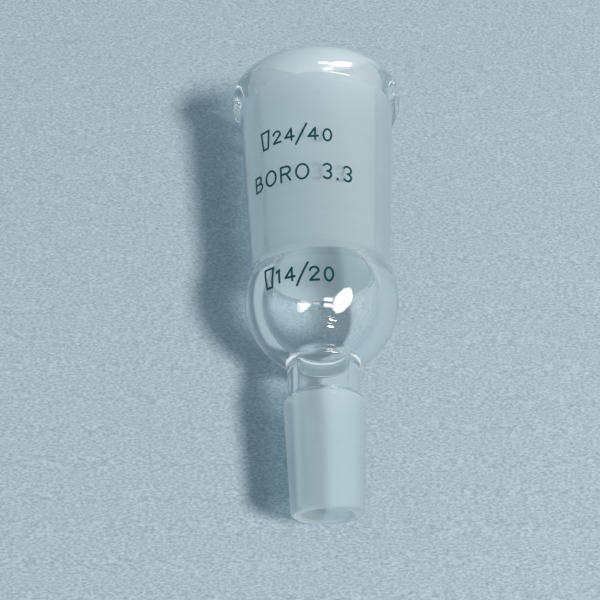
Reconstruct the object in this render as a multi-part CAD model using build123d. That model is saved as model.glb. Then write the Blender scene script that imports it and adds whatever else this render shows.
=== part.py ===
"""Enlarging adapter for laboratory glassware: 14/20 ground cone below, bulb, 24/40 ground socket above.

Millimetres. The origin is the centre of the large end of the ground cone. +Z runs up the bore
towards the mouth of the socket, and the printed side faces -Y.
"""
from build123d import *
import math
import os

# --- driving dimensions ---------------------------------------------------------------------

# ground joints: diameters at the two ends of the ground zone, and its length
CONE_LARGE = 14.5
CONE_SMALL = 12.5
CONE_LENGTH = 20.0
SOCKET_LARGE = 24.0
SOCKET_SMALL = 20.0
SOCKET_LENGTH = 40.0

# lower end: bore through the cone, rounded edges of its tip, straight stem above its shoulder
TIP_BORE = 8.7
TIP_OUTER_ROUND = 0.7
TIP_INNER_ROUND = 0.4
STEM_DIAMETER = 13.0
STEM_BORE = 9.5
STEM_LENGTH = 5.4
SHOULDER_HEIGHT = 1.3

# bulb, and the radii that blend it into the stem outside and inside
BULB_DIAMETER = 28.2
BULB_WALL = 3.0
NECK_FILLET = 1.2
NECK_INNER_ROUND = 1.5

# ring of glass that seals the socket to the bulb: the angle above the bulb's equator where it
# starts, the crease outside and the soft edge inside
SEAL_ANGLE = 18.0
SEAL_FILLET = 0.6
SEAL_INNER_ROUND = 0.5

# socket wall outside, and the rolled bead at the mouth: its root, belly, top and inner lip
SOCKET_FOOT_DIAMETER = 25.8
SOCKET_TOP_DIAMETER = 30.0
BEAD_DIAMETER = 33.6
BEAD_ROOT_ROUND = 0.5
BEAD_BELLY_HEIGHT = 3.4
BEAD_TOP_ROUND = 3.3
LIP_HEIGHT = 1.9
MOUTH_ROUND = 0.8

# printed marks: enamel thickness, stroke width, figure heights, gap between figures
ENAMEL = 0.08
STROKE = 0.36
FIGURE_HEIGHT = 2.75
LETTER_HEIGHT = 3.3
FIGURE_GAP = 0.62
LETTER_GAP = 0.78

# where each mark is centred: degrees round from the front towards +X, height, climb to the left
SOCKET_SIZE_PLACE = (-22.5, 47.5, 0.11)
GLASS_TYPE_PLACE = (-20.0, 39.6, 0.05)
BULB_SIZE_BELOW_EQUATOR = 1.0
BULB_SIZE_PLACE = (-22.5, 0.09)

# --- worked out from them --------------------------------------------------------------------

cone_radius = CONE_LARGE / 2
tip_radius = CONE_SMALL / 2
tip_bore_radius = TIP_BORE / 2
stem_radius = STEM_DIAMETER / 2
stem_bore_radius = STEM_BORE / 2
bulb_radius = BULB_DIAMETER / 2
bulb_bore_radius = bulb_radius - BULB_WALL
foot_radius = SOCKET_FOOT_DIAMETER / 2
socket_top_radius = SOCKET_TOP_DIAMETER / 2
socket_bore_foot = SOCKET_SMALL / 2
socket_bore_mouth = SOCKET_LARGE / 2
bead_radius = BEAD_DIAMETER / 2

# the stem's top is where the outer neck fillet starts, which sets how high the bulb sits
stem_top = SHOULDER_HEIGHT + STEM_LENGTH
bulb_centre = stem_top + math.sqrt((bulb_radius + NECK_FILLET) ** 2 - (stem_radius + NECK_FILLET) ** 2)
seal_angle = math.radians(SEAL_ANGLE)


def blend(sphere_radius, tube_radius, blend_radius):
    """Rounding between the bulb's sphere and a tube: where it ends on the tube and on the sphere.

    Both are measured from the bulb's centre: a height, and a (radius, height) point.
    """
    reach = sphere_radius + blend_radius
    offset = tube_radius + blend_radius
    rise = math.sqrt(reach**2 - offset**2)
    share = sphere_radius / reach
    return rise, (offset * share, rise * share)


def creases(sphere_radius, tube_radius, blend_radius):
    """Whether a tube meets the bulb's sphere in a crease above the seal's start, and not in a flare."""
    share = sphere_radius / (sphere_radius + blend_radius)
    return (tube_radius + blend_radius) * share < sphere_radius * math.cos(seal_angle)


def seal_rise(sphere_radius, tube_radius, blend_radius):
    """Height above the bulb's centre where a side of the shoulder seal ends on the socket's tube."""
    if creases(sphere_radius, tube_radius, blend_radius):
        return blend(sphere_radius, tube_radius, blend_radius)[0]
    widening = tube_radius - sphere_radius * math.cos(seal_angle)
    return sphere_radius * math.sin(seal_angle) + 2 * (widening + blend_radius)


# the socket's wall starts at the crease over the bulb, and its ground bore at the soft edge inside
wall_foot = bulb_centre + seal_rise(bulb_radius, foot_radius, SEAL_FILLET)
ground_foot = bulb_centre + seal_rise(bulb_bore_radius, socket_bore_foot, SEAL_INNER_ROUND)
ground_top = ground_foot + SOCKET_LENGTH
mouth = ground_top + LIP_HEIGHT

# the bead's top round leaves some flat land beside the round of the mouth
bead_top_round = min(BEAD_TOP_ROUND, 0.9 * (bead_radius - socket_bore_mouth - MOUTH_ROUND))
bead_equator = mouth - bead_top_round
bead_foot = bead_equator - BEAD_BELLY_HEIGHT


# --- helpers ---------------------------------------------------------------------------------

def turned(*outline):
    """Solid of revolution about Z from a closed outline of (radius, height) edges."""
    return revolve(Plane.XZ * make_face(outline), Axis.Z)


def bore_at(height):
    """Radius of the socket's ground bore at a height."""
    share = (height - ground_foot) / SOCKET_LENGTH
    return socket_bore_foot + share * (socket_bore_mouth - socket_bore_foot)


def socket_wall_at(height):
    """Outer radius of the socket's wall at a height."""
    share = (height - wall_foot) / (bead_foot - wall_foot)
    return foot_radius + share * (socket_top_radius - foot_radius)


def on_bulb(radius, angle):
    """(radius, height) of the point at an angle above the bulb's equator, on a sphere of a radius."""
    return (radius * math.cos(angle), bulb_centre + radius * math.sin(angle))


def above_centre(point):
    """A (radius, height) point that is measured from the bulb's centre, above it."""
    return (point[0], bulb_centre + point[1])


def below_centre(point):
    """A (radius, height) point that is measured from the bulb's centre, turned to lie below it."""
    return (point[0], bulb_centre - point[1])


def s_curve(low, high, share=0.5):
    """Two arcs that join two points and leave both vertically; the lower takes a share of the way."""
    middle = (low[0] + share * (high[0] - low[0]), low[1] + share * (high[1] - low[1]))
    return TangentArc(low, middle, tangent=(0, 1)), TangentArc(high, middle, tangent=(0, -1))


# --- the glass, from the tip up ----------------------------------------------------------------

def inner_joint_cone():
    """Ground cone, with a through bore and a flat tip with rounded edges."""
    tip = -CONE_LENGTH
    slope = (cone_radius - tip_radius) / CONE_LENGTH
    outer_edge = tip_radius + slope * TIP_OUTER_ROUND
    bore_slope = (stem_bore_radius - tip_bore_radius) / CONE_LENGTH
    inner_edge = tip_bore_radius + bore_slope * TIP_INNER_ROUND
    flat_out = (outer_edge - TIP_OUTER_ROUND, tip)
    flat_in = (inner_edge + TIP_INNER_ROUND, tip)
    round_top = (outer_edge, tip + TIP_OUTER_ROUND)
    bore_start = (inner_edge, tip + TIP_INNER_ROUND)
    return turned(
        Line(flat_in, flat_out),
        TangentArc(flat_out, round_top, tangent=(1, 0)),
        Line(round_top, (cone_radius, 0)),
        Line((cone_radius, 0), (stem_bore_radius, 0)),
        Line((stem_bore_radius, 0), bore_start),
        TangentArc(flat_in, bore_start, tangent=(-1, 0)),
    )


def stem_tube():
    """Straight clear tube, with the shoulder that steps down to it from the cone."""
    lower, upper = s_curve((cone_radius, 0), (stem_radius, SHOULDER_HEIGHT))
    return turned(
        lower,
        upper,
        Line((stem_radius, SHOULDER_HEIGHT), (stem_radius, stem_top)),
        Line((stem_radius, stem_top), (stem_bore_radius, stem_top)),
        Line((stem_bore_radius, stem_top), (stem_bore_radius, 0)),
        Line((stem_bore_radius, 0), (cone_radius, 0)),
    )


def neck_seal():
    """Thick ring where the stem is sealed into the bulb, filleted outside and rounded inside."""
    outer_drop, outer_end = blend(bulb_radius, stem_radius, NECK_FILLET)
    inner_drop, inner_end = blend(bulb_bore_radius, stem_bore_radius, NECK_INNER_ROUND)
    outer_start = (stem_radius, bulb_centre - outer_drop)
    inner_start = (stem_bore_radius, bulb_centre - inner_drop)
    return turned(
        TangentArc(outer_start, below_centre(outer_end), tangent=(0, 1)),
        Line(below_centre(outer_end), below_centre(inner_end)),
        TangentArc(inner_start, below_centre(inner_end), tangent=(0, 1)),
        Line(inner_start, (stem_bore_radius, stem_top)),
        Line((stem_bore_radius, stem_top), outer_start),
    )


def bulb():
    """Blown spherical wall between the neck seal and the shoulder seal."""
    outer_low = below_centre(blend(bulb_radius, stem_radius, NECK_FILLET)[1])
    inner_low = below_centre(blend(bulb_bore_radius, stem_bore_radius, NECK_INNER_ROUND)[1])
    outer_high = on_bulb(bulb_radius, seal_angle)
    inner_high = on_bulb(bulb_bore_radius, seal_angle)
    return turned(
        ThreePointArc(outer_low, on_bulb(bulb_radius, 0), outer_high),
        Line(outer_high, inner_high),
        ThreePointArc(inner_high, on_bulb(bulb_bore_radius, 0), inner_low),
        Line(inner_low, outer_low),
    )


def seal_side(sphere_radius, tube_radius, blend_radius):
    """Outline of one side of the shoulder seal, up from the bulb's sphere to the socket's tube.

    A tube narrower than the bulb meets it in a crease, and the wall flares out to a wider one.
    """
    low = on_bulb(sphere_radius, seal_angle)
    high = (tube_radius, bulb_centre + seal_rise(sphere_radius, tube_radius, blend_radius))
    if not creases(sphere_radius, tube_radius, blend_radius):
        return [Spline(low, high, tangents=[(-math.sin(seal_angle), math.cos(seal_angle)), (0, 1)])]
    bend = above_centre(blend(sphere_radius, tube_radius, blend_radius)[1])
    turn = math.asin((bend[1] - bulb_centre) / sphere_radius)
    middle = on_bulb(sphere_radius, (seal_angle + turn) / 2)
    return [ThreePointArc(low, middle, bend), TangentArc(high, bend, tangent=(0, -1))]


def shoulder_seal():
    """Ring where the socket is sealed to the bulb: a tight crease outside, a soft edge inside."""
    outside = seal_side(bulb_radius, foot_radius, SEAL_FILLET)
    inside = seal_side(bulb_bore_radius, socket_bore_foot, SEAL_INNER_ROUND)
    top = Line((foot_radius, wall_foot), (socket_bore_foot, ground_foot))
    bottom = Line(on_bulb(bulb_bore_radius, seal_angle), on_bulb(bulb_radius, seal_angle))
    return turned(*outside, top, *inside, bottom)


def socket_body():
    """Tapered wall of the socket, with its ground bore, up to the bead."""
    return turned(
        Line((foot_radius, wall_foot), (socket_top_radius, bead_foot)),
        Line((socket_top_radius, bead_foot), (bore_at(bead_foot), bead_foot)),
        Line((bore_at(bead_foot), bead_foot), (socket_bore_foot, ground_foot)),
        Line((socket_bore_foot, ground_foot), (foot_radius, wall_foot)),
    )


def rim_bead():
    """Rolled bead round the mouth, with the last of the ground bore and a polished lip inside."""
    bulge = bead_radius - socket_top_radius
    root_share = BEAD_ROOT_ROUND * 2 * abs(bulge) / (bulge**2 + BEAD_BELLY_HEIGHT**2)
    root, belly = s_curve((socket_top_radius, bead_foot), (bead_radius, bead_equator), root_share)
    round_end = (bead_radius - bead_top_round, mouth)
    mouth_edge = (socket_bore_mouth + MOUTH_ROUND, mouth)
    lip_edge = (socket_bore_mouth, mouth - MOUTH_ROUND)
    return turned(
        root,
        belly,
        TangentArc((bead_radius, bead_equator), round_end, tangent=(0, 1)),
        Line(round_end, mouth_edge),
        TangentArc(mouth_edge, lip_edge, tangent=(-1, 0)),
        Line(lip_edge, (socket_bore_mouth, ground_top)),
        Line((socket_bore_mouth, ground_top), (bore_at(bead_foot), bead_foot)),
        Line((bore_at(bead_foot), bead_foot), (socket_top_radius, bead_foot)),
    )


# --- figures and letters of the printed marks ---------------------------------------------------
# each is a flat sketch of a given height, centred on its own middle

def stroke(*path):
    """One pen stroke of the marks' line width along connected edges, with round ends."""
    return Sketch() + Face(Wire(path).offset_2d(STROKE / 2))


def loop(width, height):
    """Oval drawn with one pen line."""
    outer = Ellipse(width / 2, height / 2)
    inner = Ellipse(width / 2 - STROKE, height / 2 - STROKE)
    return outer - inner


def figure_0(height):
    """Nought."""
    return loop(0.66 * height, height)


def figure_1(height):
    """One, with a short flag."""
    top = height / 2 - STROKE / 2
    flag = Line((-0.2 * height, 0.62 * top), (0, top))
    return stroke(flag, Line((0, top), (0, -top)))


def figure_2(height):
    """Two: a hook, a slope down to the left and a foot."""
    half = 0.28 * height
    top = height / 2 - STROKE / 2
    turn = (0.93 * half, 0.28 * top)
    hook = ThreePointArc((-half, 0.5 * top), (0.1 * half, top), turn)
    slope = Line(turn, (-half, -top))
    return stroke(hook, slope, Line((-half, -top), (half, -top)))


def figure_3(height):
    """Three: two open round bowls."""
    bowl = (height - STROKE) / 4
    upper = stroke(CenterArc((0, bowl), bowl, -90, 235))
    lower = stroke(CenterArc((0, -bowl), bowl, -145, 235))
    return upper + lower


def figure_4(height):
    """Four: an upright, a slope and a crossbar."""
    top = height / 2 - STROKE / 2
    post = 0.13 * height
    bar = -0.42 * top
    upright = stroke(Line((post, top), (post, -top)))
    slope = Line((post, top), (-0.32 * height, bar))
    return upright + stroke(slope, Line((-0.32 * height, bar), (0.31 * height, bar)))


def slash(height):
    """Oblique stroke, taller than the figures."""
    return stroke(Line((-0.38 * height, -0.72 * height), (0.38 * height, 0.72 * height)))


def point(height):
    """Decimal point on the foot line."""
    return Pos(0, -height / 2 + 0.7 * STROKE) * Circle(0.7 * STROKE)


def letter_b(height):
    """B: an upright and two bowls."""
    half = 0.28 * height
    top = height / 2 - STROKE / 2
    bow = top / 2
    shape = stroke(Line((-half, top), (-half, -top)))
    for low, high, reach in ((0, top, 0.72 * half), (-top, 0, half)):
        arc_start = (reach - bow, high)
        arc_end = (reach - bow, low)
        arc = ThreePointArc(arc_start, (reach, (low + high) / 2), arc_end)
        shape += stroke(Line((-half, high), arc_start), arc, Line(arc_end, (-half, low)))
    return shape


def letter_o(height):
    """O."""
    return loop(0.8 * height, height)


def letter_r(height):
    """R: an upright, a bowl and a leg."""
    half = 0.28 * height
    top = height / 2 - STROKE / 2
    upright = stroke(Line((-half, top), (-half, -top)))
    bow = top / 2
    arc = ThreePointArc((half - bow, top), (half, bow), (half - bow, 0))
    bowl = stroke(Line((-half, top), (half - bow, top)), arc, Line((half - bow, 0), (-half, 0)))
    return upright + bowl + stroke(Line((0.1 * half, 0), (half, -top)))


def taper_sign(height):
    """Small outline of a ground cone, wide end up, standing for a standard taper."""
    tall = 1.45 * height
    outer = Polygon((-0.42 * height, tall / 2), (-0.27 * height, -tall / 2),
                    (0.27 * height, -tall / 2), (0.42 * height, tall / 2), align=None)
    return outer - offset(outer, -STROKE)


FIGURES = {"0": figure_0, "1": figure_1, "2": figure_2, "3": figure_3, "4": figure_4,
           "slash": slash, "point": point, "b": letter_b, "o": letter_o, "r": letter_r,
           "taper": taper_sign}


def printed_mark(name, figures, height, gap, wall, wall_radius, angle, level, climb):
    """Enamel figures in a row round a wall: a dict of node name to solid.

    `wall` is a thin skin of enamel over the glass, `wall_radius` gives its radius at a height,
    `angle` and `level` place the middle of the row, and `climb` is its rise per millimetre
    towards the left. Each figure is pressed straight onto the wall from outside.
    """
    drawn = []
    for figure in figures:
        sketch = FIGURES[figure](height) if figure != "space" else None
        width = sketch.bounding_box().size.X if sketch else gap
        drawn.append((figure, sketch, 0.45 * width if figure == "slash" else width))
    length = sum(width for _, _, width in drawn) + gap * (len(drawn) - 1)
    solids = {}
    along = -length / 2
    for number, (figure, sketch, width) in enumerate(drawn, start=1):
        middle = along + width / 2
        along += width + gap
        if not sketch:
            continue
        height_here = level - climb * middle
        radius = wall_radius(height_here)
        turn = math.radians(angle) + middle / radius
        outward = Vector(math.sin(turn), -math.cos(turn), 0)
        sideways = Vector(math.cos(turn), math.sin(turn), 0)
        plane = Plane(origin=outward * (radius + 1) + Vector(0, 0, height_here),
                      x_dir=sideways, z_dir=outward)
        stamp = extrude(plane * sketch, -2.5)
        solids[f"{name}_{number}_{figure}"] = (stamp & wall).solids().sort_by(SortBy.VOLUME)[-1]
    return solids


def socket_skin():
    """Thin skin over the outside of the socket's wall, as thick as the enamel."""
    return turned(
        Line((foot_radius, wall_foot), (socket_top_radius, bead_foot)),
        Line((socket_top_radius, bead_foot), (socket_top_radius + ENAMEL, bead_foot)),
        Line((socket_top_radius + ENAMEL, bead_foot), (foot_radius + ENAMEL, wall_foot)),
        Line((foot_radius + ENAMEL, wall_foot), (foot_radius, wall_foot)),
    )


def bulb_skin():
    """Thin skin over the outside of the bulb, as thick as the enamel."""
    low_angle = -math.asin(blend(bulb_radius, stem_radius, NECK_FILLET)[1][1] / bulb_radius)
    outer = bulb_radius + ENAMEL
    return turned(
        ThreePointArc(on_bulb(bulb_radius, low_angle), on_bulb(bulb_radius, 0),
                      on_bulb(bulb_radius, seal_angle)),
        Line(on_bulb(bulb_radius, seal_angle), on_bulb(outer, seal_angle)),
        ThreePointArc(on_bulb(outer, seal_angle), on_bulb(outer, 0), on_bulb(outer, low_angle)),
        Line(on_bulb(outer, low_angle), on_bulb(bulb_radius, low_angle)),
    )


def bulb_wall_at(height):
    """Outer radius of the bulb at a height."""
    return math.sqrt(bulb_radius**2 - (height - bulb_centre) ** 2)


def printed_marks():
    """All the enamel on the glass: both joint sizes and the glass type."""
    angle, level, climb = SOCKET_SIZE_PLACE
    solids = printed_mark("socket_size", ["taper", "2", "4", "slash", "4", "0"], FIGURE_HEIGHT,
                          FIGURE_GAP, socket_skin(), socket_wall_at, angle, level, climb)
    angle, level, climb = GLASS_TYPE_PLACE
    solids |= printed_mark("glass_type", ["b", "o", "r", "o", "space", "3", "point", "3"],
                           LETTER_HEIGHT, LETTER_GAP, socket_skin(), socket_wall_at,
                           angle, level, climb)
    angle, climb = BULB_SIZE_PLACE
    solids |= printed_mark("cone_size", ["taper", "1", "4", "slash", "2", "0"], FIGURE_HEIGHT,
                           FIGURE_GAP, bulb_skin(), bulb_wall_at, angle,
                           bulb_centre - BULB_SIZE_BELOW_EQUATOR, climb)
    return solids


# --- write one STEP per piece --------------------------------------------------------------------

pieces = {
    "inner_joint_cone": inner_joint_cone(),
    "stem_tube": stem_tube(),
    "neck_seal": neck_seal(),
    "bulb": bulb(),
    "shoulder_seal": shoulder_seal(),
    "socket_body": socket_body(),
    "rim_bead": rim_bead(),
}
pieces |= printed_marks()

os.makedirs("parts", exist_ok=True)
for node, solid in pieces.items():
    export_step(solid, f"parts/{node}.step")
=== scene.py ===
"""Looks of a glass enlarging adapter: ground cone and stem, bulb, ground socket with a beaded mouth.

Everything is in metres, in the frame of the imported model. The bore runs along +Z, the printed
side faces -Y, and the adapter lies back against a pale bench on its +Y side.
"""
import logging
import math
from dataclasses import dataclass, field
from enum import Enum

import bpy
from mathutils import Matrix, Vector


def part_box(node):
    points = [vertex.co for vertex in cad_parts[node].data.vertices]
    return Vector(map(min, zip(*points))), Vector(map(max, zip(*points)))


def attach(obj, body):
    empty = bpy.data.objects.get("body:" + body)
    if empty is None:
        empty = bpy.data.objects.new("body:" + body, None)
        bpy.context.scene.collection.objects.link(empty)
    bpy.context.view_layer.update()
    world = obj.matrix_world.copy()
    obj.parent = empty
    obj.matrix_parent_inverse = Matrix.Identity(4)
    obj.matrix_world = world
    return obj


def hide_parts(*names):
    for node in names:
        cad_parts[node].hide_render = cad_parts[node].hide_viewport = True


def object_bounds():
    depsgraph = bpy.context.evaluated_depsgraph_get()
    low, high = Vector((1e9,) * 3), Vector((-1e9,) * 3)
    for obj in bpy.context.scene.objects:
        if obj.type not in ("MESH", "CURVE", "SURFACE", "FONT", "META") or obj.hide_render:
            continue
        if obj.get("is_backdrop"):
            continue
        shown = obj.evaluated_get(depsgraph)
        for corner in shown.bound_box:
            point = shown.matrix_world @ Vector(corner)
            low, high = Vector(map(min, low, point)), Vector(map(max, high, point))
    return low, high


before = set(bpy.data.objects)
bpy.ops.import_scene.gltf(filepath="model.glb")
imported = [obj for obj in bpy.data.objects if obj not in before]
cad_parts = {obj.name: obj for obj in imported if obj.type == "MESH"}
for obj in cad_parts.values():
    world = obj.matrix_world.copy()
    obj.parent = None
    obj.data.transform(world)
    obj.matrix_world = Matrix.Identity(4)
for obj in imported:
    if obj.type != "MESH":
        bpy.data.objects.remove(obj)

LOG = logging.getLogger("adapter")
MM = 0.001
WHITE = (1.0, 1.0, 1.0, 1.0)

# sizes that more than one section of the adapter shares
BULB_RADIUS = 14.1 * MM
SEAL_ANGLE = 18.0
STEM_RADIUS = 6.5 * MM
STEM_BORE = 4.75 * MM
SOCKET_FOOT_RADIUS = 12.9 * MM
SOCKET_FOOT_BORE = 10.0 * MM
BEAD_RADIUS = 16.8 * MM
BEAD_TOP_ROUND = 3.3 * MM

# pieces with a frosted surface that the bright lamps would burn out
CONE_NAME = "cone_14_20_ground"
SOCKET_NAME = "socket_24_40"

# most of a noise texture's values lie between these two
TONE_RANGE = (0.3, 0.7)
# the first and last span of an arc, as a share of its even spans
END_SPAN = 0.04
# stops closer than this are one stop, in metres
SAME_PLACE = 1e-7
# edges sharper than this stay sharp, in degrees
SHARP_ANGLE = 32


class Slot(Enum):
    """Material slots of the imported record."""

    CLEAR = "clear_glass"
    GROUND = "ground_glass"


class Zone(Enum):
    """What the surface between two outline points is; the value is its place in the material list."""

    CLEAR = 0
    GROUND = 1
    SEAL = 2


# --- node helpers ------------------------------------------------------------------------------


def new_material(name: str) -> tuple[bpy.types.Material, bpy.types.NodeTree]:
    """Make an empty node material.

    Args:
        name: The material's name.

    Returns:
        The material and its cleared node tree.
    """
    material = bpy.data.materials.new(name)
    material.use_nodes = True
    tree = material.node_tree
    tree.nodes.clear()
    return material, tree


def add_node(tree: bpy.types.NodeTree, kind: str, **inputs: object) -> bpy.types.Node:
    """Add a node and set some of its plain inputs.

    Args:
        tree: The node tree.
        kind: The node's type name.
        **inputs: Input values, by socket name with underscores for spaces.

    Returns:
        The new node.
    """
    node = tree.nodes.new(kind)
    for name, value in inputs.items():
        node.inputs[name.replace("_", " ")].default_value = value
    return node


def ramp(tree: bpy.types.NodeTree, low: float, high: float, dark: tuple, light: tuple) -> bpy.types.Node:
    """Add a two-stop colour ramp.

    Args:
        tree: The node tree.
        low: Where the dark colour ends.
        high: Where the light colour starts.
        dark: Colour at and below low.
        light: Colour at and above high.

    Returns:
        The colour ramp node.
    """
    node = tree.nodes.new("ShaderNodeValToRGB")
    first, last = node.color_ramp.elements
    first.position, last.position = low, high
    first.color, last.color = (*dark, 1.0), (*light, 1.0)
    return node


def build_unevenness_group() -> bpy.types.NodeTree:
    """Make the group for every kind of unevenness: flame ripple, grit, grinding rings, fibres.

    Returns:
        A group with inputs Stretch, Scale, Detail and Depth, and outputs Tone (0 to 1) and Height
        (the tone times the depth).
    """
    group = bpy.data.node_groups.new("unevenness", "ShaderNodeTree")
    for name, kind in (("Stretch", "NodeSocketVector"), ("Scale", "NodeSocketFloat"),
                       ("Detail", "NodeSocketFloat"), ("Depth", "NodeSocketFloat")):
        group.interface.new_socket(name, in_out="INPUT", socket_type=kind)
    for name in ("Tone", "Height"):
        group.interface.new_socket(name, in_out="OUTPUT", socket_type="NodeSocketFloat")
    given = group.nodes.new("NodeGroupInput")
    out = group.nodes.new("NodeGroupOutput")
    place = group.nodes.new("ShaderNodeTexCoord")
    stretch = group.nodes.new("ShaderNodeMapping")
    noise = add_node(group, "ShaderNodeTexNoise", Roughness=0.55)
    height = group.nodes.new("ShaderNodeMath")
    height.operation = "MULTIPLY"
    links = group.links
    links.new(place.outputs["Object"], stretch.inputs["Vector"])
    links.new(given.outputs["Stretch"], stretch.inputs["Scale"])
    links.new(stretch.outputs["Vector"], noise.inputs["Vector"])
    links.new(given.outputs["Scale"], noise.inputs["Scale"])
    links.new(given.outputs["Detail"], noise.inputs["Detail"])
    links.new(noise.outputs["Fac"], height.inputs[0])
    links.new(given.outputs["Depth"], height.inputs[1])
    links.new(noise.outputs["Fac"], out.inputs["Tone"])
    links.new(height.outputs[0], out.inputs["Height"])
    return group


@dataclass(frozen=True)
class Unevenness:
    """One use of the unevenness group: its grain, its depth and the way it is drawn out."""

    scale: float
    detail: float = 2.0
    depth: float = 0.0
    stretch: tuple[float, float, float] = (1.0, 1.0, 1.0)

    def place(self, tree: bpy.types.NodeTree, group: bpy.types.NodeTree) -> bpy.types.Node:
        """Put the group in a material with these values.

        Args:
            tree: The material's node tree.
            group: The unevenness group.

        Returns:
            The group node.
        """
        node = tree.nodes.new("ShaderNodeGroup")
        node.node_tree = group
        for name, value in (("Stretch", self.stretch), ("Scale", self.scale),
                            ("Detail", self.detail), ("Depth", self.depth)):
            node.inputs[name].default_value = value
        return node


def bend_normal(tree: bpy.types.NodeTree, height: bpy.types.NodeSocket, shader: bpy.types.Node,
                strength: float) -> None:
    """Let a height, in metres, bend a shader's normal.

    Args:
        tree: The material's node tree.
        height: The socket that the height comes from.
        shader: The shader.
        strength: How much of the height counts.
    """
    bump = add_node(tree, "ShaderNodeBump", Strength=strength, Distance=1.0)
    tree.links.new(height, bump.inputs["Height"])
    tree.links.new(bump.outputs["Normal"], shader.inputs["Normal"])


def vary(tree: bpy.types.NodeTree, tone: bpy.types.NodeSocket, low: tuple, high: tuple,
         target: bpy.types.NodeSocket) -> None:
    """Let a tone take a shader's input from one value to another.

    Args:
        tree: The material's node tree.
        tone: The socket that the tone comes from.
        low: Colour, or grey value, where the tone is low.
        high: Colour, or grey value, where the tone is high.
        target: The shader's input.
    """
    blend = ramp(tree, *TONE_RANGE, low, high)
    tree.links.new(tone, blend.inputs["Fac"])
    tree.links.new(blend.outputs["Color"], target)


def past_walls(tree: bpy.types.NodeTree, surfaces: int = 3) -> bpy.types.NodeSocket:
    """Tell whether a ray has gone through more than a number of glass surfaces: 1 if so, else 0.

    Args:
        tree: The world's node tree.
        surfaces: How many surfaces it may have gone through.

    Returns:
        The socket that gives the answer.
    """
    path = tree.nodes.new("ShaderNodeLightPath")
    compare = tree.nodes.new("ShaderNodeMath")
    compare.operation = "GREATER_THAN"
    compare.inputs[1].default_value = surfaces
    tree.links.new(path.outputs["Transmission Depth"], compare.inputs[0])
    return compare.outputs[0]


def grey(value: float) -> tuple[float, float, float]:
    """Give a value as a grey colour, for ramps that drive roughness."""
    return (value, value, value)


# --- finishes ----------------------------------------------------------------------------------


@dataclass(frozen=True)
class ClearGlass:
    """Fire-polished borosilicate: sharp reflections, faint ripple, a lighter shadow than a solid's."""

    unevenness: bpy.types.NodeTree
    tint: tuple[float, float, float] = (0.985, 1.0, 1.0)
    shadow: tuple[float, float, float] = (0.965, 0.98, 0.985)
    veil: tuple[float, float, float] = (0.96, 0.98, 0.985)
    grazing: float = 0.08
    edge_on: tuple[float, float] = (0.05, 0.55)
    index: float = 1.473
    ripple: Unevenness = Unevenness(110.0, 1.0, 0.00004, (1.0, 1.0, 0.45))
    ripple_strength: float = 0.15
    film: tuple[float, float] = (0.0, 0.03)

    def build(self) -> bpy.types.Material:
        """Make the material."""
        material, tree = new_material("clear_borosilicate")
        glass = add_node(tree, "ShaderNodeBsdfPrincipled", Base_Color=(*self.tint, 1.0), IOR=self.index,
                         Transmission_Weight=1.0)
        waves = self.ripple.place(tree, self.unevenness)
        bend_normal(tree, waves.outputs["Height"], glass, self.ripple_strength)
        vary(tree, waves.outputs["Tone"], grey(self.film[0]), grey(self.film[1]), glass.inputs["Roughness"])
        self.let_lamps_through(tree, glass)
        return material

    def let_lamps_through(self, tree: bpy.types.NodeTree, glass: bpy.types.Node) -> None:
        """Give rays towards lamps, and rays from matt surfaces, a straight way through.

        Rays towards lamps are dimmed most where the wall is seen edge-on, which draws the dark
        outlines of a glass shadow. The edge_on stops say where that starts and where it is full.

        Args:
            tree: The material's node tree.
            glass: The shader that everything else sees.
        """
        out = tree.nodes.new("ShaderNodeOutputMaterial")
        path = tree.nodes.new("ShaderNodeLightPath")
        facing = add_node(tree, "ShaderNodeLayerWeight", Blend=0.5)
        tint = ramp(tree, *self.edge_on, self.shadow, tuple(self.grazing * c for c in self.shadow))
        to_lamp = tree.nodes.new("ShaderNodeBsdfTransparent")
        around = add_node(tree, "ShaderNodeBsdfTransparent", Color=(*self.veil, 1.0))
        tree.links.new(facing.outputs["Facing"], tint.inputs["Fac"])
        tree.links.new(tint.outputs["Color"], to_lamp.inputs["Color"])
        shown = glass
        for ray, through in (("Is Shadow Ray", to_lamp), ("Is Diffuse Ray", around)):
            mix = tree.nodes.new("ShaderNodeMixShader")
            tree.links.new(path.outputs[ray], mix.inputs["Fac"])
            tree.links.new(shown.outputs[0], mix.inputs[1])
            tree.links.new(through.outputs[0], mix.inputs[2])
            shown = mix
        tree.links.new(shown.outputs[0], out.inputs["Surface"])


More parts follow.
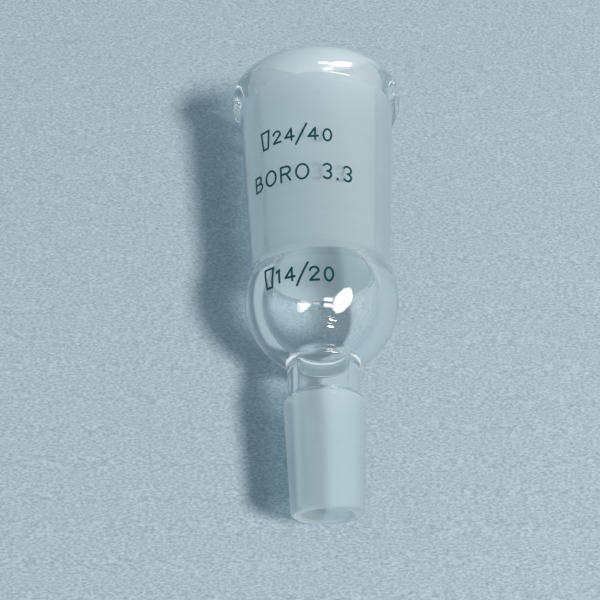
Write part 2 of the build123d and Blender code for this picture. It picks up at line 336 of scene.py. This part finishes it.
@dataclass(frozen=True)
class GroundGlass(ClearGlass):
    """Ground joint surface: even frost with fine grit and rings left by the grinding."""

    name: str = "ground_cone_surface"
    tint: tuple[float, float, float] = (0.87, 0.97, 0.98)
    shadow: tuple[float, float, float] = (0.34, 0.40, 0.42)
    veil: tuple[float, float, float] = (0.80, 0.86, 0.88)
    clarity: float = 0.76
    sheen: float = 0.35
    sheen_roughness: float = 0.35
    ring_tone: float = 0.96
    frost: tuple[float, float] = (0.30, 0.34)
    grit: Unevenness = Unevenness(5200.0, 2.0, 0.000004)
    rings: Unevenness = Unevenness(420.0, 3.0, 0.000004, (0.12, 0.12, 6.0))

    def build(self) -> bpy.types.Material:
        """Make the material."""
        material, tree = new_material(self.name)
        glass = add_node(tree, "ShaderNodeBsdfPrincipled", IOR=self.index, Transmission_Weight=self.clarity,
                         Sheen_Weight=self.sheen, Sheen_Roughness=self.sheen_roughness)
        grit = self.grit.place(tree, self.unevenness)
        rings = self.rings.place(tree, self.unevenness)
        both = tree.nodes.new("ShaderNodeMath")
        both.operation = "ADD"
        tree.links.new(grit.outputs["Height"], both.inputs[0])
        tree.links.new(rings.outputs["Height"], both.inputs[1])
        bend_normal(tree, both.outputs[0], glass, 1.0)
        vary(tree, rings.outputs["Tone"], tuple(self.ring_tone * c for c in self.tint), self.tint,
             glass.inputs["Base Color"])
        vary(tree, grit.outputs["Tone"], grey(self.frost[0]), grey(self.frost[1]), glass.inputs["Roughness"])
        self.let_lamps_through(tree, glass)
        return material


@dataclass(frozen=True)
class SealFace:
    """Where two sections are fused: no boundary is left in the glass, so nothing shows."""

    def build(self) -> bpy.types.Material:
        """Make the material."""
        material, tree = new_material("fused_seal")
        out = tree.nodes.new("ShaderNodeOutputMaterial")
        clear = add_node(tree, "ShaderNodeBsdfTransparent", Color=WHITE)
        tree.links.new(clear.outputs[0], out.inputs["Surface"])
        return material


@dataclass(frozen=True)
class FiredEnamel:
    """Dark teal enamel, screen-printed and fired: slightly uneven in tone and gloss."""

    unevenness: bpy.types.NodeTree
    deep: tuple[float, float, float] = (0.001, 0.036, 0.043)
    thin: tuple[float, float, float] = (0.003, 0.070, 0.078)
    gloss: tuple[float, float] = (0.30, 0.46)
    index: float = 1.5
    specular: float = 0.12
    mottle: Unevenness = Unevenness(2600.0, 3.0, 0.000006)

    def build(self) -> bpy.types.Material:
        """Make the material."""
        material, tree = new_material("fired_enamel")
        out = tree.nodes.new("ShaderNodeOutputMaterial")
        coat = add_node(tree, "ShaderNodeBsdfPrincipled", IOR=self.index, Specular_IOR_Level=self.specular)
        mottle = self.mottle.place(tree, self.unevenness)
        vary(tree, mottle.outputs["Tone"], self.deep, self.thin, coat.inputs["Base Color"])
        vary(tree, mottle.outputs["Tone"], grey(self.gloss[0]), grey(self.gloss[1]), coat.inputs["Roughness"])
        bend_normal(tree, mottle.outputs["Height"], coat, 1.0)
        tree.links.new(coat.outputs[0], out.inputs["Surface"])
        return material


# --- turned glass ------------------------------------------------------------------------------


@dataclass(frozen=True)
class Stop:
    """A point of a turned outline, and what the surface after it is."""

    radius: float
    height: float
    zone: Zone = Zone.CLEAR


def run(start: tuple[float, float], end: tuple[float, float], steps: int,
        zone: Zone = Zone.CLEAR) -> list[Stop]:
    """Make a straight run of stops, both ends included.

    Args:
        start: (radius, height) of the first stop.
        end: (radius, height) of the last stop.
        steps: How many spans it has.
        zone: What its surface is.

    Returns:
        The stops in order.
    """
    out, up = end[0] - start[0], end[1] - start[1]
    shares = [k / steps for k in range(steps + 1)]
    return [Stop(start[0] + out * s, start[1] + up * s, zone) for s in shares]


def bow(centre: tuple[float, float], radius: float, start: float, end: float, steps: int,
        zone: Zone = Zone.CLEAR) -> list[Stop]:
    """Make a round run of stops, its first and last span short, so that its ends keep the arc's slope.

    Args:
        centre: (radius, height) of the arc's centre.
        radius: The arc's radius.
        start: Angle of the first stop in degrees, from +radius towards +height.
        end: Angle of the last stop in degrees.
        steps: How many even spans it has.
        zone: What its surface is.

    Returns:
        The stops in order.
    """
    shares = [0.0, END_SPAN / steps, *(k / steps for k in range(1, steps)), 1 - END_SPAN / steps, 1.0]
    angles = [math.radians(start + (end - start) * s) for s in shares]
    return [Stop(centre[0] + radius * math.cos(a), centre[1] + radius * math.sin(a), zone) for a in angles]


def s_bend(low: tuple[float, float], high: tuple[float, float], steps: int, share: float = 0.5) -> list[Stop]:
    """Make two arcs that join two points and leave both of them vertically.

    Args:
        low: (radius, height) of the lower end.
        high: (radius, height) of the upper end.
        steps: Spans in each arc.
        share: The part of the way that the lower arc takes.

    Returns:
        The stops from low to high.
    """
    out, up = high[0] - low[0], high[1] - low[1]
    turn = math.degrees(2 * math.atan2(abs(out), up))
    both_radii = (out**2 + up**2) / (2 * abs(out))
    first, second = share * both_radii, (1 - share) * both_radii
    if out > 0:
        return (bow((low[0] + first, low[1]), first, 180, 180 - turn, steps)
                + bow((high[0] - second, high[1]), second, -turn, 0, steps)[1:])
    return (bow((low[0] - first, low[1]), first, 0, turn, steps)
            + bow((high[0] + second, high[1]), second, 180 + turn, 180, steps)[1:])


def sealed(stops: list[Stop]) -> list[Stop]:
    """Give the same stops, with the surface after the last one a fused seal.

    Args:
        stops: A run of stops.

    Returns:
        The run with its last stop changed.
    """
    last = stops[-1]
    return [*stops[:-1], Stop(last.radius, last.height, Zone.SEAL)]


@dataclass
class TurnedGlass:
    """Builds rings of glass from closed outlines, with the three surfaces that they can have."""

    clear: bpy.types.Material
    ground: bpy.types.Material
    seal: bpy.types.Material
    segments: int = 144

    def build(self, name: str, node: str, outline: list[Stop], slot: Slot) -> bpy.types.Object:
        """Turn a closed outline into a solid ring of glass that stands for a CAD node.

        Args:
            name: The new piece's name.
            node: The CAD node that it replaces.
            outline: Outline stops, up the outside and down the inside.
            slot: The record's slot for its finish; not used.

        Returns:
            The finished piece.
        """
        stops = self.without_repeats(outline)
        piece = self.draw_rings(name, stops)
        for material in (self.clear, self.ground, self.seal):
            piece.data.materials.append(material)
        for face in piece.data.polygons:
            face.material_index = self.zone_of(face, stops).value
        bpy.ops.object.shade_smooth_by_angle(angle=math.radians(SHARP_ANGLE))
        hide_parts(node)
        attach(piece, "root")
        return piece

    @staticmethod
    def without_repeats(outline: list[Stop]) -> list[Stop]:
        """Drop each stop that the next one repeats, so that no face is empty.

        Args:
            outline: Outline stops.

        Returns:
            The stops that are left.
        """
        kept = []
        for here, after in zip(outline, [*outline[1:], outline[0]]):
            if math.dist((here.radius, here.height), (after.radius, after.height)) > SAME_PLACE:
                kept.append(here)
        return kept

    def draw_rings(self, name: str, stops: list[Stop]) -> bpy.types.Object:
        """Extrude a ring of vertices from stop to stop and close it on itself.

        Args:
            name: The new object's name.
            stops: Outline stops.

        Returns:
            The closed ring, with its place in its mesh.
        """
        bpy.ops.object.select_all(action="DESELECT")
        first = stops[0]
        bpy.ops.mesh.primitive_circle_add(vertices=self.segments, radius=first.radius, fill_type="NOTHING",
                                          location=(0.0, 0.0, first.height))
        piece = bpy.context.object
        piece.name = piece.data.name = name
        bpy.ops.object.transform_apply(location=True, rotation=True, scale=True)
        bpy.ops.object.mode_set(mode="EDIT")
        bpy.ops.mesh.select_mode(type="EDGE")
        bpy.ops.mesh.select_all(action="SELECT")
        for here, after in zip(stops, stops[1:]):
            bpy.ops.mesh.extrude_edges_move(
                TRANSFORM_OT_translate={"value": (0.0, 0.0, after.height - here.height)})
            widen = after.radius / here.radius
            bpy.ops.transform.resize(value=(widen, widen, 1.0), center_override=(0.0, 0.0, after.height))
        self.close_ring(piece, len(stops))
        return piece

    def close_ring(self, piece: bpy.types.Object, rings: int) -> None:
        """Bridge the last ring of vertices back to the first, and point every face outwards.

        Args:
            piece: The object in edit mode.
            rings: How many rings it has.
        """
        bpy.ops.mesh.select_all(action="DESELECT")
        bpy.ops.object.mode_set(mode="OBJECT")
        ends = {0, rings - 1}
        for edge in piece.data.edges:
            places = {vertex // self.segments for vertex in edge.vertices}
            edge.select = len(places) == 1 and places <= ends
        bpy.ops.object.mode_set(mode="EDIT")
        bpy.ops.mesh.bridge_edge_loops()
        bpy.ops.mesh.select_all(action="SELECT")
        bpy.ops.mesh.normals_make_consistent(inside=False)
        bpy.ops.object.mode_set(mode="OBJECT")

    def zone_of(self, face: bpy.types.MeshPolygon, stops: list[Stop]) -> Zone:
        """Tell what a face's surface is, from the stop that it starts at.

        Args:
            face: A face of the ring.
            stops: The outline that it was made from.

        Returns:
            The zone of the face.
        """
        rings = sorted({vertex // self.segments for vertex in face.vertices})
        starts = rings[0] if rings[-1] - rings[0] == 1 else rings[-1]
        return stops[starts].zone


# --- sub-assemblies ----------------------------------------------------------------------------


@dataclass
class LowerEnd:
    """Ground cone with its tip, and the clear stem above its shoulder."""

    glass: TurnedGlass
    large_radius: float = 7.25 * MM
    tip_radius: float = 6.25 * MM
    tip_bore: float = 4.35 * MM
    tip_outer_round: float = 0.7 * MM
    tip_inner_round: float = 0.4 * MM
    stem_radius: float = STEM_RADIUS
    stem_bore: float = STEM_BORE
    shoulder: float = 1.3 * MM

    def build(self) -> list[bpy.types.Object]:
        """Make both pieces, from the heights of their CAD nodes."""
        return [self.cone(), self.stem()]

    def cone(self) -> bpy.types.Object:
        """Make the ground cone: frosted outside, clear in the bore."""
        tip, top = (corner.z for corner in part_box("inner_joint_cone"))
        slope = (self.large_radius - self.tip_radius) / (top - tip)
        edge = self.tip_radius + slope * self.tip_outer_round
        bore_slope = (self.stem_bore - self.tip_bore) / (top - tip)
        inner = self.tip_bore + bore_slope * self.tip_inner_round
        outside = bow((edge - self.tip_outer_round, tip + self.tip_outer_round), self.tip_outer_round,
                      -90, 0, 6, Zone.GROUND)
        outside += run((edge, tip + self.tip_outer_round), (self.large_radius, top), 10, Zone.GROUND)
        inside = run((self.stem_bore, top), (inner, tip + self.tip_inner_round), 6)
        inside += bow((inner + self.tip_inner_round, tip + self.tip_inner_round), self.tip_inner_round,
                      180, 270, 4, Zone.GROUND)
        return self.glass.build(CONE_NAME, "inner_joint_cone", [*sealed(outside), *inside], Slot.GROUND)

    def stem(self) -> bpy.types.Object:
        """Make the clear stem with the small rounded step above the cone."""
        low, high = (corner.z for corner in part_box("stem_tube"))
        outside = s_bend((self.large_radius, low), (self.stem_radius, low + self.shoulder), 6)
        outside += run((self.stem_radius, low + self.shoulder), (self.stem_radius, high), 4)
        inside = run((self.stem_bore, high), (self.stem_bore, low), 4)
        return self.glass.build("stem", "stem_tube", [*sealed(outside), *sealed(inside)], Slot.CLEAR)


@dataclass
class BulbSection:
    """Blown bulb with the thick seal round its neck and the creased seal at its shoulder."""

    glass: TurnedGlass
    radius: float = BULB_RADIUS
    wall: float = 3.0 * MM
    stem_radius: float = STEM_RADIUS
    stem_bore: float = STEM_BORE
    neck_fillet: float = 1.2 * MM
    neck_round: float = 1.5 * MM
    seal_angle: float = SEAL_ANGLE
    seal_fillet: float = 0.6 * MM
    seal_round: float = 0.5 * MM
    socket_foot_radius: float = SOCKET_FOOT_RADIUS
    socket_foot_bore: float = SOCKET_FOOT_BORE
    centre: float = field(init=False)

    def __post_init__(self) -> None:
        """Read the height of the bulb's centre from its CAD node."""
        self.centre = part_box("bulb")[1].z - self.radius * math.sin(math.radians(self.seal_angle))

    def build(self) -> list[bpy.types.Object]:
        """Make the three pieces from the neck up."""
        return [self.neck(), self.bulb(), self.shoulder()]

    @staticmethod
    def blend(sphere: float, tube: float, fillet: float) -> tuple[float, float]:
        """Find where a round blend between the bulb's sphere and a tube lies.

        Args:
            sphere: The sphere's radius.
            tube: The tube's radius.
            fillet: The blend's radius.

        Returns:
            How far the blend's centre is above or below the bulb's centre, and how far its end on
            the sphere is from the equator, in degrees.
        """
        rise = math.sqrt((sphere + fillet) ** 2 - (tube + fillet) ** 2)
        return rise, math.degrees(math.atan2(rise, tube + fillet))

    def neck(self) -> bpy.types.Object:
        """Make the thick seal between stem and bulb: filleted outside, rounded inside."""
        drop, turn = self.blend(self.radius, self.stem_radius, self.neck_fillet)
        inner_drop, inner_turn = self.blend(self.radius - self.wall, self.stem_bore, self.neck_round)
        stem_top = self.centre - drop
        inner_start = self.centre - inner_drop
        outside = bow((self.stem_radius + self.neck_fillet, stem_top), self.neck_fillet, 180, 180 - turn, 12)
        inside = bow((self.stem_bore + self.neck_round, inner_start), self.neck_round,
                     180 - inner_turn, 180, 10)
        inside += run((self.stem_bore, inner_start), (self.stem_bore, stem_top), 3)
        outline = [*sealed(outside), *sealed(inside)]
        return self.glass.build("neck_seal_ring", "neck_seal", outline, Slot.CLEAR)

    def bulb(self) -> bpy.types.Object:
        """Make the spherical wall between the two seals."""
        low = self.blend(self.radius, self.stem_radius, self.neck_fillet)[1]
        inner_low = self.blend(self.radius - self.wall, self.stem_bore, self.neck_round)[1]
        outside = bow((0.0, self.centre), self.radius, -low, self.seal_angle, 44)
        inside = bow((0.0, self.centre), self.radius - self.wall, self.seal_angle, -inner_low, 44)
        return self.glass.build("blown_bulb", "bulb", [*sealed(outside), *sealed(inside)], Slot.CLEAR)

    def shoulder(self) -> bpy.types.Object:
        """Make the seal between bulb and socket: a tight crease outside and a soft edge inside."""
        outside = self.shoulder_side(self.radius, self.socket_foot_radius, self.seal_fillet)
        inside = self.shoulder_side(self.radius - self.wall, self.socket_foot_bore, self.seal_round)
        return self.glass.build("shoulder_seal_ring", "shoulder_seal",
                                [*sealed(outside), *sealed(inside[::-1])], Slot.CLEAR)

    def shoulder_side(self, sphere: float, tube: float, fillet: float) -> list[Stop]:
        """Draw one side of the shoulder seal, from the bulb's sphere up to the foot of a tube.

        Args:
            sphere: The sphere's radius on this side.
            tube: The tube's radius on this side.
            fillet: The radius of the blend between them.

        Returns:
            The stops from low to high.
        """
        rise, turn = self.blend(sphere, tube, fillet)
        arc = bow((0.0, self.centre), sphere, self.seal_angle, turn, 6)
        return arc + bow((tube + fillet, self.centre + rise), fillet, 180 + turn, 180, 8)


@dataclass
class UpperSocket:
    """Long ground socket and the rolled bead round its mouth."""

    glass: TurnedGlass
    foot_radius: float = SOCKET_FOOT_RADIUS
    top_radius: float = 15.0 * MM
    foot_bore: float = SOCKET_FOOT_BORE
    mouth_bore: float = 12.0 * MM
    ground_length: float = 40.0 * MM
    lip_height: float = 1.9 * MM
    bead_radius: float = BEAD_RADIUS
    bead_root: float = 0.5 * MM
    bead_top_round: float = BEAD_TOP_ROUND
    mouth_round: float = 0.8 * MM
    bead_foot: float = field(init=False)
    mouth: float = field(init=False)

    def __post_init__(self) -> None:
        """Read the heights of the bead's foot and of the mouth from the CAD nodes."""
        self.bead_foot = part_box("socket_body")[1].z
        self.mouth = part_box("rim_bead")[1].z

    def build(self) -> list[bpy.types.Object]:
        """Make both pieces."""
        return [self.body(), self.bead()]

    @property
    def ground_top(self) -> float:
        """Height of the upper end of the ground bore."""
        return self.mouth - self.lip_height

    def bore_at(self, height: float) -> float:
        """Radius of the ground bore at a height."""
        share = (self.ground_top - height) / self.ground_length
        return self.mouth_bore + share * (self.foot_bore - self.mouth_bore)

    def body(self) -> bpy.types.Object:
        """Make the socket's wall: clear outside, frosted bore."""
        bulb = BulbSection(self.glass)
        wall_foot = bulb.centre + bulb.blend(bulb.radius, self.foot_radius, bulb.seal_fillet)[0]
        bore_top = (self.bore_at(self.bead_foot), self.bead_foot)
        outside = run((self.foot_radius, wall_foot), (self.top_radius, self.bead_foot), 10)
        inside = run(bore_top, (self.foot_bore, self.ground_top - self.ground_length), 10, Zone.GROUND)
        return self.glass.build(SOCKET_NAME, "socket_body", [*sealed(outside), *sealed(inside)], Slot.GROUND)

    def bead(self) -> bpy.types.Object:
        """Make the rolled bead: clear outside, with a frosted lip and the end of the bore inside."""
        bulge = self.bead_radius - self.top_radius
        equator = self.mouth - self.bead_top_round
        belly = equator - self.bead_foot
        root_share = self.bead_root * 2 * bulge / (bulge**2 + belly**2)
        outside = s_bend((self.top_radius, self.bead_foot), (self.bead_radius, equator), 10, root_share)
        outside += bow((self.bead_radius - self.bead_top_round, equator), self.bead_top_round, 0, 90, 14)
        land_end = self.mouth_bore + self.mouth_round
        lip_edge = self.mouth - self.mouth_round
        outside += run((self.bead_radius - self.bead_top_round, self.mouth), (land_end, self.mouth), 2)
        outside += bow((land_end, lip_edge), self.mouth_round, 90, 180, 6)
        lip = run((self.mouth_bore, lip_edge), (self.mouth_bore, self.ground_top), 2, Zone.GROUND)
        bore_end = (self.bore_at(self.bead_foot), self.bead_foot)
        inside = run((self.mouth_bore, self.ground_top), bore_end, 4, Zone.GROUND)
        return self.glass.build("mouth_bead", "rim_bead", [*outside, *lip, *sealed(inside)], Slot.CLEAR)


@dataclass
class PrintedMarks:
    """Enamel figures on the glass, which keep their CAD shapes."""

    enamel: bpy.types.Material
    families: tuple[str, ...] = ("socket_size_", "glass_type_", "cone_size_")

    def dress(self) -> list[bpy.types.Object]:
        """Give every figure the enamel finish.

        Returns:
            The figures' objects.
        """
        figures = [piece for name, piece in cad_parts.items() if name.startswith(self.families)]
        for figure in figures:
            for place in figure.material_slots:
                place.material = self.enamel
        return figures


# --- bench, light and camera ---------------------------------------------------------------------


@dataclass
class Bench:
    """Plain pale bench that the adapter lies on: it touches the bulb and the bead."""

    unevenness: bpy.types.NodeTree
    bulb_radius: float = BULB_RADIUS
    bead_radius: float = BEAD_RADIUS
    bead_round: float = BEAD_TOP_ROUND
    seal_angle: float = SEAL_ANGLE
    size: float = 3.0
    colour: tuple[float, float, float] = (0.47, 0.58, 0.635)
    roughness: float = 0.85
    index: float = 1.3
    mottle: float = 0.24
    fibre: Unevenness = Unevenness(2600.0, 2.0, 0.00006, (0.6, 1.0, 1.3))

    def lean(self) -> tuple[float, float]:
        """Work out how the bench touches bulb and bead.

        Returns:
            The bench's lean in radians, and its distance from the origin.
        """
        drop = self.bulb_radius * math.sin(math.radians(self.seal_angle))
        bulb = Vector((0.0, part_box("bulb")[1].z - drop))
        bead = Vector((self.bead_radius - self.bead_round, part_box("rim_bead")[1].z - self.bead_round))
        apart = bead - bulb
        turn = math.atan2(apart.y, apart.x) - math.acos((self.bulb_radius - self.bead_round) / apart.length)
        return turn, bulb.x * math.cos(turn) + bulb.y * math.sin(turn) + self.bulb_radius

    def build(self) -> bpy.types.Object:
        """Make the bench and mark it as stage."""
        turn, away = self.lean()
        normal = Vector((0.0, math.cos(turn), math.sin(turn)))
        bpy.ops.object.select_all(action="DESELECT")
        bpy.ops.mesh.primitive_plane_add(size=self.size, location=(0.0, 0.0, 0.0))
        bench = bpy.context.object
        bench.name = bench.data.name = "bench"
        facing = (-normal).to_track_quat("Z", "Y").to_matrix().to_4x4()
        bench.data.transform(Matrix.Translation(normal * away) @ facing)
        bench.data.materials.append(self.finish())
        bench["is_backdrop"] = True
        return bench

    def finish(self) -> bpy.types.Material:
        """Make a matt pale surface, finely mottled, that shows from the front only."""
        material, tree = new_material("bench_surface")
        out = tree.nodes.new("ShaderNodeOutputMaterial")
        matt = add_node(tree, "ShaderNodeBsdfPrincipled", Roughness=self.roughness, IOR=self.index)
        fibre = self.fibre.place(tree, self.unevenness)
        vary(tree, fibre.outputs["Tone"], tuple((1 - self.mottle) * c for c in self.colour),
             tuple((1 + self.mottle) * c for c in self.colour), matt.inputs["Base Color"])
        bend_normal(tree, fibre.outputs["Height"], matt, 1.0)
        behind = add_node(tree, "ShaderNodeBsdfTransparent", Color=WHITE)
        side = tree.nodes.new("ShaderNodeNewGeometry")
        mix = tree.nodes.new("ShaderNodeMixShader")
        tree.links.new(side.outputs["Backfacing"], mix.inputs["Fac"])
        tree.links.new(matt.outputs[0], mix.inputs[1])
        tree.links.new(behind.outputs[0], mix.inputs[2])
        tree.links.new(mix.outputs[0], out.inputs["Surface"])
        return material


class LampUse(Enum):
    """What a lamp does: it shades matt surfaces, or it shows in polished or in frosted glass."""

    SHADING = "shading"
    POLISHED = "polished"
    FROSTED = "frosted"


class LampShape(Enum):
    """Outline of a lamp."""

    PANE = "RECTANGLE"
    OVAL = "ELLIPSE"


@dataclass(frozen=True)
class SoftLamp:
    """A soft lamp that faces the adapter."""

    name: str
    use: LampUse
    direction: tuple[float, float, float]
    width: float
    height: float
    power: float
    colour: tuple[float, float, float] = (1.0, 1.0, 1.0)
    roll: float = 0.0
    shape: LampShape = LampShape.PANE
    distance: float = 1.5

    def build(self, target: Vector, pieces: dict[LampUse, bpy.types.Collection]) -> bpy.types.Object:
        """Make the lamp.

        Args:
            target: The point that it faces.
            pieces: The pieces that a lamp of each use lights, where it doesn't light everything.

        Returns:
            The lamp's object.
        """
        data = bpy.data.lights.new(self.name, "AREA")
        data.shape = self.shape.value
        data.size, data.size_y = self.width, self.height
        data.energy, data.color = self.power, self.colour
        lamp = bpy.data.objects.new(self.name, data)
        bpy.context.scene.collection.objects.link(lamp)
        shades = self.use is LampUse.SHADING
        lamp.visible_diffuse = shades
        lamp.visible_glossy = lamp.visible_transmission = not shades
        if self.use in pieces:
            lamp.light_linking.receiver_collection = pieces[self.use]
        away = Vector(self.direction).normalized()
        facing = away.to_track_quat("Z", "Y").to_matrix().to_4x4()
        spin = Matrix.Rotation(math.radians(self.roll), 4, "Z")
        lamp.matrix_world = Matrix.Translation(target + away * self.distance) @ facing @ spin
        return lamp


# the window and the panes beside it, which more than one lamp stands for
WINDOW_SIDE = (0.46, -0.81, -0.36)
WINDOW_SIZE = (0.58, 1.10)
WINDOW_COLOUR = (1.0, 0.96, 0.94)
WINDOW_ROLL = -22.0
PANE_SIZE = (0.34, 0.145)
PANE_COLOUR = (1.0, 0.92, 0.93)


@dataclass(frozen=True)
class ViewCamera:
    """Camera in front of the adapter, below its tip, looking up along it."""

    place: tuple[float, float, float] = (-16.0, -185.5, -69.7)
    ahead: tuple[float, float, float] = (0.05838, 0.89836, 0.43536)
    roll: float = -0.020
    lens: float = 67.7
    sensor_width: float = 36.0
    clip_start: float = 0.01

    def build(self) -> bpy.types.Object:
        """Make the camera and let the scene use it.

        Returns:
            The camera's object.
        """
        data = bpy.data.cameras.new("camera")
        data.lens = self.lens
        data.sensor_width = self.sensor_width
        data.clip_start = self.clip_start
        camera = bpy.data.objects.new("camera", data)
        bpy.context.scene.collection.objects.link(camera)
        ahead = Vector(self.ahead).normalized()
        right = ahead.cross(Vector((0.0, 0.0, 1.0))).normalized()
        up = right.cross(ahead)
        level = Matrix((right, up, -ahead)).transposed().to_4x4()
        roll = Matrix.Rotation(self.roll, 4, "Z")
        camera.matrix_world = Matrix.Translation(Vector(self.place) * MM) @ level @ roll
        bpy.context.scene.camera = camera
        return camera


@dataclass
class Studio:
    """World, lamps and camera."""

    glass: list[bpy.types.Object]
    ambient: tuple[float, float, float] = (0.247, 0.300, 0.340)
    seen_in_glass: tuple[float, float, float] = (0.92, 0.98, 1.00)
    beyond_glass: tuple[float, float, float] = (0.64, 0.75, 0.80)
    backdrop: tuple[float, float, float] = (0.45, 0.55, 0.61)
    frosted: tuple[str, ...] = (CONE_NAME, SOCKET_NAME)
    lamps: tuple[SoftLamp, ...] = (
        SoftLamp("window_light", LampUse.SHADING, (0.446, -0.834, -0.325), 0.22, 0.36, 17.0,
                 colour=(1.0, 0.940, 0.912), roll=WINDOW_ROLL, shape=LampShape.OVAL),
        SoftLamp("window", LampUse.POLISHED, WINDOW_SIDE, *WINDOW_SIZE, 30.0,
                 colour=WINDOW_COLOUR, roll=WINDOW_ROLL, shape=LampShape.OVAL),
        SoftLamp("window_in_frost", LampUse.FROSTED, WINDOW_SIDE, *WINDOW_SIZE, 3.6,
                 colour=WINDOW_COLOUR, roll=WINDOW_ROLL, shape=LampShape.OVAL),
        SoftLamp("side_pane_upper", LampUse.POLISHED, (0.100, -0.913, -0.385), *PANE_SIZE, 2.0,
                 colour=PANE_COLOUR),
        SoftLamp("side_pane_lower", LampUse.POLISHED, (0.098, -0.849, -0.519), *PANE_SIZE, 2.0,
                 colour=PANE_COLOUR),
        SoftLamp("low_strip_upper", LampUse.POLISHED, (0.214, -0.590, -0.778), 0.28, 0.06, 3.0),
        SoftLamp("low_strip_lower", LampUse.POLISHED, (0.168, -0.455, -0.874), 0.24, 0.06, 2.6),
    )

    def build(self) -> bpy.types.Object:
        """Make the world, the lamps and the camera.

        Returns:
            The camera.
        """
        self.world()
        low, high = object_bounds()
        pieces = self.glass_by_use()
        for lamp in self.lamps:
            lamp.build((low + high) / 2, pieces)
        return ViewCamera().build()

    def glass_by_use(self) -> dict[LampUse, bpy.types.Collection]:
        """Sort the glass into what shows the bright lamps, and what would be burnt out by them."""
        pieces = {use: bpy.data.collections.new(use.value) for use in (LampUse.POLISHED, LampUse.FROSTED)}
        for piece in self.glass:
            use = LampUse.FROSTED if piece.name in self.frosted else LampUse.POLISHED
            pieces[use].objects.link(piece)
        return pieces

    def world(self) -> None:
        """Make even, slightly blue surroundings, with a colour for each kind of ray that meets them."""
        world = bpy.data.worlds.new("surroundings")
        world.use_nodes = True
        tree = world.node_tree
        tree.nodes.clear()
        out = tree.nodes.new("ShaderNodeOutputWorld")
        path = tree.nodes.new("ShaderNodeLightPath")
        shown = add_node(tree, "ShaderNodeBackground", Color=(*self.seen_in_glass, 1.0))
        for ray, colour in ((past_walls(tree), self.beyond_glass),
                            (path.outputs["Is Diffuse Ray"], self.ambient),
                            (path.outputs["Is Camera Ray"], self.backdrop)):
            other = add_node(tree, "ShaderNodeBackground", Color=(*colour, 1.0))
            mix = tree.nodes.new("ShaderNodeMixShader")
            tree.links.new(ray, mix.inputs["Fac"])
            tree.links.new(shown.outputs[0], mix.inputs[1])
            tree.links.new(other.outputs[0], mix.inputs[2])
            shown = mix
        tree.links.new(shown.outputs[0], out.inputs["Surface"])
        bpy.context.scene.world = world


def set_light_paths(bounces: int = 24, see_through: int = 32) -> None:
    """Let rays pass through every wall of the glass before they stop.

    Args:
        bounces: How often a ray may bend or reflect, all in all and of each kind.
        see_through: How many see-through surfaces a ray may cross.
    """
    cycles = bpy.context.scene.cycles
    cycles.max_bounces = bounces
    cycles.transmission_bounces = bounces
    cycles.glossy_bounces = bounces
    cycles.transparent_max_bounces = see_through
    cycles.caustics_reflective = False
    cycles.caustics_refractive = False
    bpy.context.scene.view_settings.view_transform = "Standard"


def main() -> None:
    """Build the adapter's glass, dress its print, and set the stage."""
    logging.basicConfig(level=logging.INFO, format="%(name)s: %(message)s")
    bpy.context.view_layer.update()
    unevenness = build_unevenness_group()
    clear = ClearGlass(unevenness).build()
    cone_frost = GroundGlass(unevenness).build()
    bore_frost = GroundGlass(unevenness, name="ground_bore_surface", clarity=0.70, sheen=0.0,
                             frost=(0.54, 0.64), shadow=(0.70, 0.77, 0.79)).build()
    seal = SealFace().build()
    low_glass, high_glass = TurnedGlass(clear, cone_frost, seal), TurnedGlass(clear, bore_frost, seal)
    pieces = []
    for section in (LowerEnd(low_glass), BulbSection(low_glass), UpperSocket(high_glass)):
        for piece in section.build():
            pieces.append(piece)
            LOG.info("%s: %s, %d faces", type(section).__name__, piece.name, len(piece.data.polygons))
    for figure in PrintedMarks(FiredEnamel(unevenness).build()).dress():
        LOG.info("print: %s", figure.name)
    LOG.info("stage: %s", Bench(unevenness).build().name)
    LOG.info("view: %s", Studio(pieces).build().name)
    set_light_paths()


if __name__ == "__main__":
    main()
